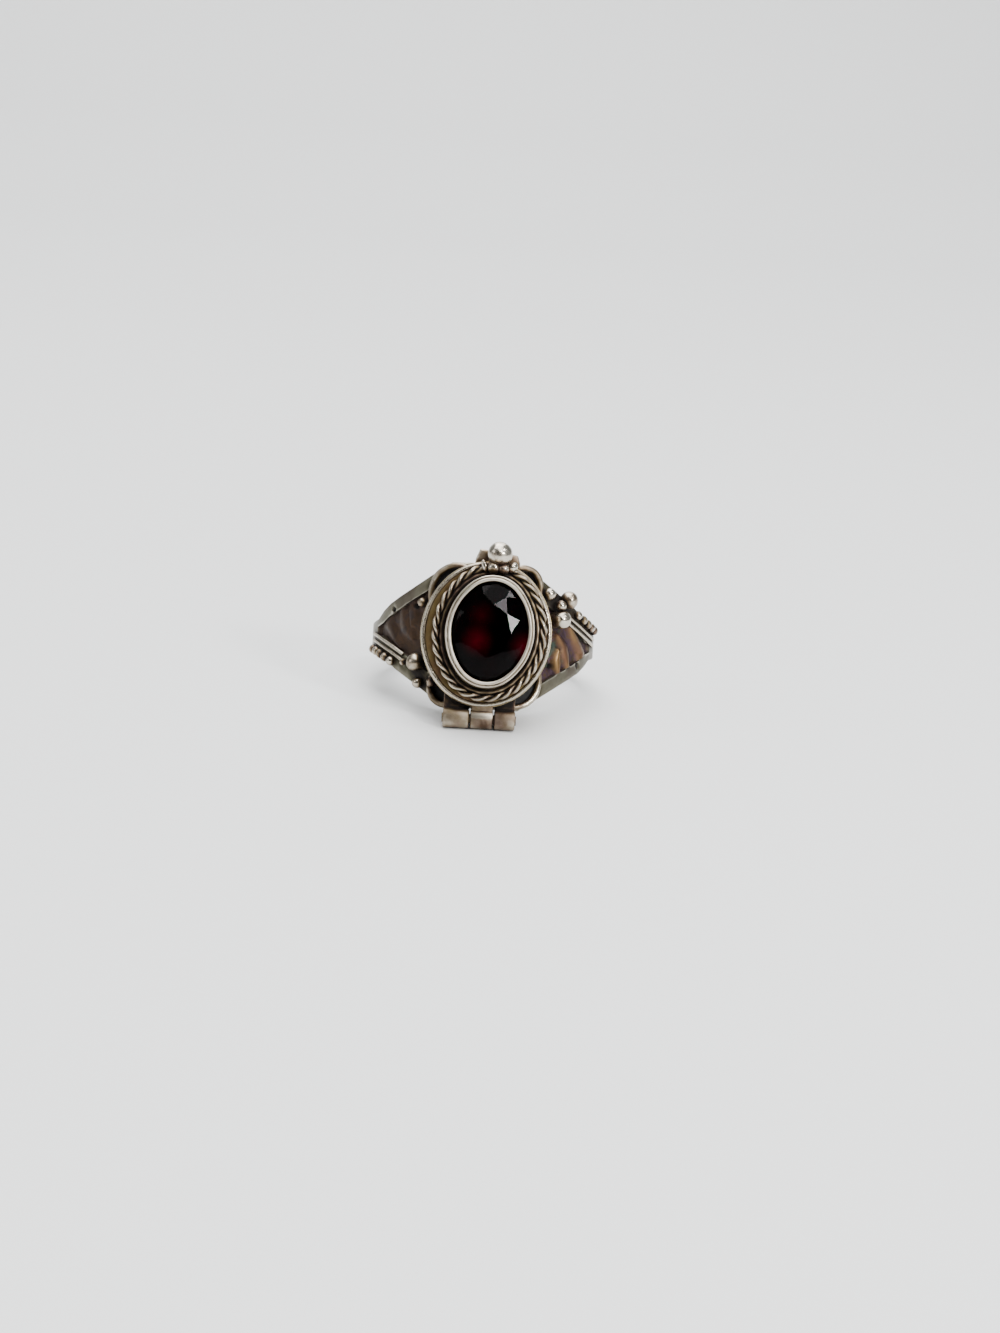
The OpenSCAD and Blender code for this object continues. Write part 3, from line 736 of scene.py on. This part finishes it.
# Corner loops, open where they go under the box
paths = []
for place, back, radius in loopPlaces:
    path = []
    for i in range(loops["count"]):
        turn = 2 * math.pi * i / loops["count"]
        flat = place @ Vector((radius * math.cos(turn), radius * math.sin(turn), 0))
        swing = math.atan2(flat.x, -flat.y - ring["shift"])
        reach = ring["band"] + loops["lift"]
        path.append(Vector((reach * math.sin(swing), -ring["shift"] - reach * math.cos(swing), flat.z)))
    while not underBox(path[0]) or underBox(path[1]):
        path.append(path.pop(0))
    paths.append([point for point in path if not underBox(point)])
bm = wire(paths, loops["wire"])
dent(bm, 0.04, 0.8, 3)
finishPiece("cornerLoops", bm, "ring", loopSilver)
print("shoulder ornament made")

# Lid plate and its rim wire
lid = {
    "a": 5.55, "b": 6.2, "rimWire": 0.2, "rimInset": 0.25, "rimSink": 0.05,
    "flat": (-4.6, -3, -1.5), "edge": [(-0.12, 0), (-0.03, 0.03), (0, 0.12)], "inner": -0.8,
}
profile = [(out, lidBottom) for out in lid["flat"]]
profile += [(out, lidBottom + height) for out, height in lid["edge"]]
profile += [(out, lidTop - height) for out, height in reversed(lid["edge"])]
profile += [(out, lidTop) for out in (lid["inner"], *reversed(lid["flat"]))]
bm = sweepOval(lid["a"], lid["b"], profile, closed=False, steps=48)
dent(bm, 0.03, 1.8, 9)
lidPlate = finishPiece("lidPlate", bm, "lid", plateSilver, toHead)
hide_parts("lid")

rimSection = circle(lid["rimWire"], -lid["rimInset"], lidTop - lid["rimSink"])
bm = sweepOval(lid["a"], lid["b"], rimSection)
dent(bm, 0.03, 0.8, 12)
finishPiece("rimWire", bm, "lid", wireSilver, toHead)

# Setting: bezel, plain wire and rope round the stone
setting = {
    "a": 3.5, "b": 4.5, "plainWire": 0.23, "plainOut": 0.55, "plainSink": 0.03, "ropeOut": 1.05,
    "ropeHeight": 0.31, "strand": 0.17, "helix": 0.175, "turns": 14, "count": 560,
}
plainSection = circle(setting["plainWire"], setting["plainOut"], setting["plainWire"] - setting["plainSink"])
bm = sweepOval(setting["a"], setting["b"], plainSection)
dent(bm, 0.02, 0.8, 14)
finishPiece("plainWire", bm, "lid", wireSilver, toSetting)

ropeA, ropeB = setting["a"] + setting["ropeOut"], setting["b"] + setting["ropeOut"]
paths = []
for strand in (0, math.pi):
    path = []
    for i in range(setting["count"]):
        share = i / setting["count"]
        centre, out = ovalPlace(ropeA, ropeB, share)
        turn = 2 * math.pi * setting["turns"] * share + strand
        height = setting["ropeHeight"] + setting["helix"] * math.sin(turn)
        path.append(centre + out * setting["helix"] * math.cos(turn) + Vector((0, 0, height)))
    paths.append(path)
bm = wire(paths, setting["strand"], 4, True)
finishPiece("ropeWire", bm, "lid", ropeSilver, toSetting)

# Section of the bezel. Columns: distance outwards from the stone's edge, height
bezel = [
    (-0.5, -0.05), (-0.45, 1.8), (0.07, 1.8), (0.07, 2.39), (-0.27, 2.62), (-0.3, 2.67), (-0.3, 2.74),
    (-0.265, 2.82), (-0.2, 2.87), (-0.12, 2.89), (-0.05, 2.87), (-0.005, 2.8), (0.01, 2.66),
    (0.035, 2.6), (0.06, 2.64), (0.09, 2.7), (0.135, 2.72), (0.185, 2.69), (0.215, 2.6), (0.22, 2.3),
    (0.23, 1.2), (0.27, 0.1), (0.3, -0.05),
]
bm = sweepOval(setting["a"], setting["b"], bezel)
dent(bm, 0.025, 1.1, 15)
finishPiece("bezel", bm, "lid", bezelSilver, toSetting, sharp=60)

# Middle knuckle with the strap that carries it on the lid
bm = knuckle(hinge["middle"], 17)
low, high = hinge["middleStrap"]
addTo(bm, strap(hinge["middle"], (high - lidTop, -lidBottom - low), hinge["middleEnd"]))
finishPiece("middleKnuckle", bm, "lid", hingeSilver)

# Clasp: the ball, its root and granules. Columns: place across and up, radius, lift, stretch, its turn
clasp = {
    "ball": 1.05, "x": 0.222, "y": 6.82, "lift": 0.63, "root": 0.88, "rootEdge": 0.12,
    "rootHeight": (0.03, 0.57),
    "granules": [(-0.15, 5.62, 0.54, 0.72, 1, 0), (0.66, 5.62, 0.52, 0.7, 1, 0),
                 (1.42, 5.86, 0.38, 0.5, 1.35, 50), (-0.92, 5.68, 0.25, 0.5, 2.2, 112)],
}
bm = ball(clasp["ball"], 0, foot=False, steps=56, count=24)
dent(bm, 0.05, 1.1, 21)
bmesh.ops.translate(bm, vec=(clasp["x"], clasp["y"], lidTop + clasp["lift"]), verts=bm.verts)
reach, edge, (low, high) = clasp["root"], clasp["rootEdge"], clasp["rootHeight"]
root = turnLine([(0, low), (reach - edge, low), (reach, low + edge), (reach, high - edge),
                 (reach - edge, high), (0, high)])
addTo(bm, root, Matrix.Translation((clasp["x"], lid["b"], lidBottom)))
for number, (x, y, radius, lift, stretch, turn) in enumerate(clasp["granules"]):
    part = ball(radius, lift, steps=28)
    dent(part, 0.03, 0.4, number)
    place = Matrix.Translation((x, y, lidTop)) @ Matrix.Rotation(math.radians(turn), 4, "Z")
    addTo(bm, part, place @ Matrix.Diagonal((stretch, 1, 1, 1)))
finishPiece("claspBalls", bm, "lid", ballSilver, toHead)
print("lid made")

# Stone and pin stay as the frame has them
stone = frame["nodes"]["garnet"]
pin = frame["nodes"]["hinge_pin"]
for node, material in ((stone, garnetRed), (pin, hingeSilver)):
    node.data.materials.clear()
    node.data.materials.append(material)

# How near each spot lies to other surfaces. A surface close in front of a spot, in a crevice or under
# another part, gives it painted shade together with patina. A surface close behind it, on a thin edge, marks
# the bright rub of wear.
shadeAndWear = {"near": 0.00022, "far": 0.0008, "edge": 0.0002}
corners, faces = [], []
for piece in pieces + [stone]:
    base = len(corners)
    corners += [v.co for v in piece.data.vertices]
    faces += [[base + i for i in f.vertices] for f in piece.data.polygons]
surfaces = BVHTree.FromPolygons(corners, faces)


def gapTo(point, reach):
    hit = surfaces.find_nearest(point, reach * 1.05)
    return 1 - min(1, (hit[3] if hit[3] is not None else reach) / reach)


for piece in pieces:
    mesh = piece.data
    normals = [n.vector.copy() for n in mesh.vertex_normals]
    recess = mesh.attributes.new("recess", "FLOAT", "POINT")
    edge = mesh.attributes.new("edge", "FLOAT", "POINT")
    for i, v in enumerate(mesh.vertices):
        near, far = (gapTo(v.co + normals[i] * shadeAndWear[name], shadeAndWear[name]) for name in ("near", "far"))
        recess.data[i].value = 0.5 * near + 0.7 * far
        edge.data[i].value = gapTo(v.co - normals[i] * shadeAndWear["edge"], shadeAndWear["edge"])
print("wear measured")

# Floor, a pale sheet that curves up behind the ring
sheet = {
    "half": 2.5,
    "line": [(-3.0, 0), (0.3, 0), (0.42, 0.006), (0.52, 0.03), (0.6, 0.08), (0.65, 0.16), (0.67, 0.3),
             (0.68, 1.4)],
}
bm = bmesh.new()
verts = [bm.verts.new((-sheet["half"], y, z + cadBox[0].z)) for y, z in sheet["line"]]
edges = [bm.edges.new(pair) for pair in zip(verts, verts[1:])]
out = bmesh.ops.extrude_edge_only(bm, edges=edges)["geom"]
farSide = [item for item in out if isinstance(item, bmesh.types.BMVert)]
bmesh.ops.translate(bm, vec=(2 * sheet["half"], 0, 0), verts=farSide)
bmesh.ops.recalc_face_normals(bm, faces=bm.faces)
for face in bm.faces:
    face.smooth = True
mesh = bpy.data.meshes.new("floor")
bm.to_mesh(mesh)
bm.free()
finish = Finish("paleFloor")
colour = finish.ramp(finish.noise(400, 2), [(0, (0.76, 0.77, 0.77)), (1, (0.80, 0.81, 0.81))])
shader = finish.add("ShaderNodeBsdfPrincipled", {}, {"Base Color": colour, "Roughness": 0.6})
mesh.materials.append(finish.end(shader))
floor = bpy.data.objects.new("floor", mesh)
bpy.context.scene.collection.objects.link(floor)

# Softboxes, of which a facet mirrors each small one. Columns: direction from the stone, distance, size, glow
lights = {
    "key": ((0.20, -0.40, 0.89), 0.45, 0.30, 3.7),
    "top": ((-0.15, 0.10, 0.98), 0.70, 0.60, 5.0),
    "back": ((0.0, 0.55, 0.83), 0.70, 0.60, 4.0),
    "left": ((-0.85, -0.30, 0.43), 0.60, 0.22, 4.0),
    "starGlint": ((0.610, -0.686, 0.396), 0.50, 0.055, 200.0),
    "upperGlint": ((0.303, -0.646, 0.701), 0.50, 0.055, 44.0),
    "girdleGlint": ((0.616, -0.260, 0.744), 0.50, 0.055, 44.0),
}
stonePlace = toSetting @ Vector((0, 0, 3))
for name, (toward, far, size, glow) in lights.items():
    light = bpy.data.lights.new(name, "AREA")
    light.size, light.energy = size, glow * math.pi * size * size
    lamp = bpy.data.objects.new(name, light)
    bpy.context.scene.collection.objects.link(lamp)
    lamp.location = stonePlace + Vector(toward).normalized() * far
    lamp.rotation_euler = (-Vector(toward)).to_track_quat("-Z", "Y").to_euler()

# The room: even pale light, dark only where the viewer stands
room = {"viewer": (0.02, -0.945, 0.327), "glow": 0.42}
world = bpy.data.worlds.new("studio")
bpy.context.scene.world = world
sky = Finish("studio", world)
way = sky.add("ShaderNodeTexCoord", output="Generated")
towards = sky.add("ShaderNodeVectorMath", {"operation": "DOT_PRODUCT"}, {0: way, 1: room["viewer"]},
                  output="Value")
colour = sky.ramp(towards, [(0, (0.86, 0.90, 0.93)), (0.82, (0.70, 0.72, 0.73)),
                            (0.93, (0.12, 0.115, 0.11)), (1, (0.05, 0.045, 0.04))])
background = sky.add("ShaderNodeBackground", {}, {"Color": colour, "Strength": room["glow"]})
sky.end(background, "ShaderNodeOutputWorld")

camera = {
    "place": (-0.003647, -0.206187, 0.051563), "look": (0.02502, 0.96726, -0.25253),
    "roll": 3.6146, "lens": 63.5,
}
lens = bpy.data.cameras.new("camera")
lens.lens, lens.sensor_width, lens.sensor_fit = camera["lens"], 36, "AUTO"
lens.clip_start = 0.005
eye = bpy.data.objects.new("camera", lens)
bpy.context.scene.collection.objects.link(eye)
eye.location = camera["place"]
eye.rotation_mode = "QUATERNION"
eye.rotation_quaternion = (Vector(camera["look"]).to_track_quat("-Z", "Y")
                           @ Matrix.Rotation(math.radians(camera["roll"]), 4, "Z").to_quaternion())
bpy.context.scene.camera = eye
print("stage made")

bpy.context.view_layer.update()
